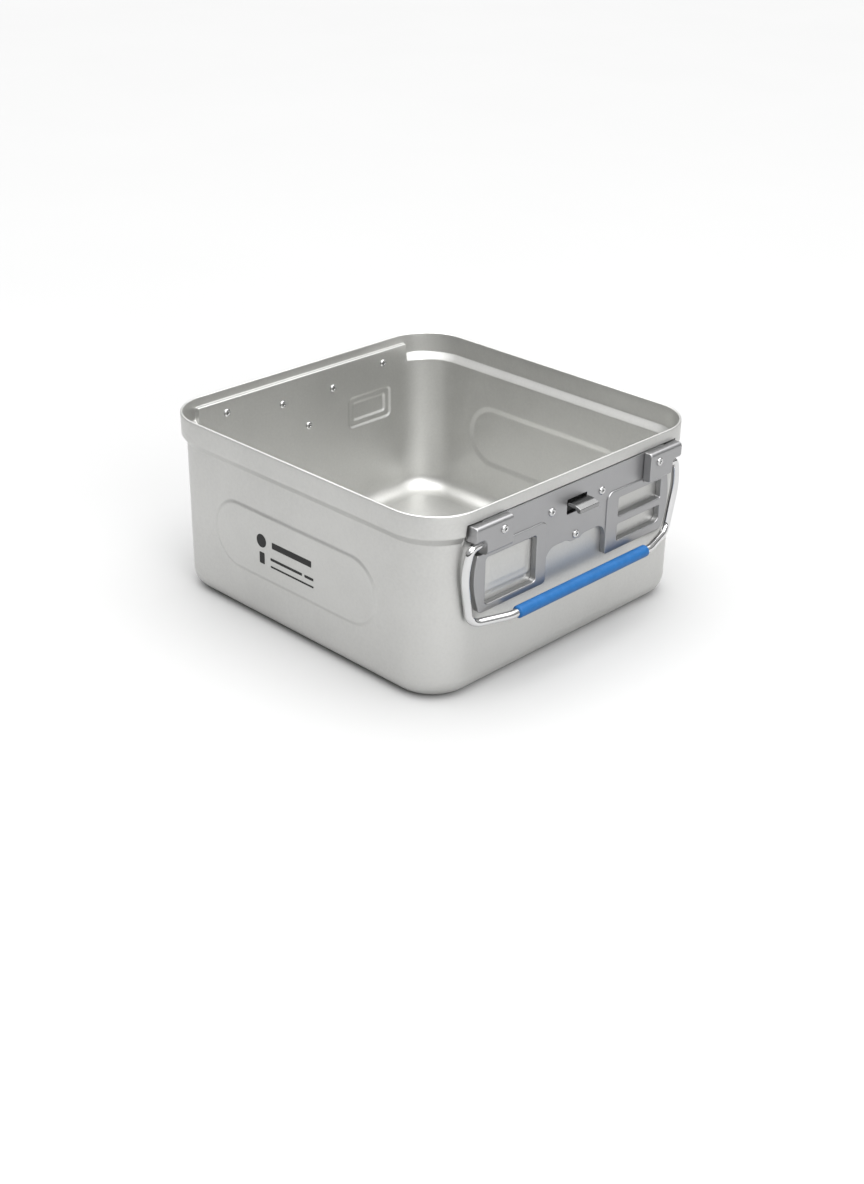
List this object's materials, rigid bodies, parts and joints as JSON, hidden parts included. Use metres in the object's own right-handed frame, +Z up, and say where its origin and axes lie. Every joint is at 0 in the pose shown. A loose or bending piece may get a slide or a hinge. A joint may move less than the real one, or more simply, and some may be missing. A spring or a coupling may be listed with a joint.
{
  "type": "sterilisation container base",
  "caption": "Half-size sterilisation container base: open pressed aluminium tub with catch hooks and a hinged bail handle at each end.",
  "frame": {"origin": "middle of the resting plane under the tub", "axes": "+X towards the right handle end, +Y towards the rear plain wall, +Z up out of the open top"},
  "size_m": [0.3134, 0.28, 0.14],
  "materials": {
    "tub_aluminium": "satin anodised",
    "bracket_aluminium": "satin anodised, slightly darker",
    "polished_rod": "polished stainless",
    "blue_silicone": "matte",
    "hook_steel": "brushed",
    "dark_steel": "black oxide",
    "rivet_steel": "bright",
    "mandrel_steel": "plain"
  },
  "bodies": {
    "container": {"tub": "tub_aluminium", "right_bracket": "bracket_aluminium", "right_front_hinge_cap": "bracket_aluminium", "right_front_cap_rivet": "rivet_steel", "right_rear_hinge_cap": "bracket_aluminium", "right_rear_cap_rivet": "rivet_steel", "right_catch_plate": "dark_steel", "right_catch_hook": "hook_steel", "right_catch_rivets": "rivet_steel", "right_rivet_mandrels": "mandrel_steel", "left_bracket": "bracket_aluminium", "left_front_hinge_cap": "bracket_aluminium", "left_front_cap_rivet": "rivet_steel", "left_rear_hinge_cap": "bracket_aluminium", "left_rear_cap_rivet": "rivet_steel", "left_catch_plate": "dark_steel", "left_catch_hook": "hook_steel", "left_catch_rivets": "rivet_steel", "left_rivet_mandrels": "mandrel_steel"},
    "right_handle": {"right_bail": "polished_rod", "right_grip": "blue_silicone"},
    "left_handle": {"left_bail": "polished_rod", "left_grip": "blue_silicone"}
  },
  "joints": [
    {"name": "right_handle_swing", "type": "hinge", "parent": "container", "child": "right_handle", "pos_m": [0.144, 0, 0.115], "axis": [0, -1, 0], "range_deg": [0, 90]},
    {"name": "left_handle_swing", "type": "hinge", "parent": "container", "child": "left_handle", "pos_m": [-0.144, 0, 0.115], "axis": [0, 1, 0], "range_deg": [0, 90]}
  ]
}
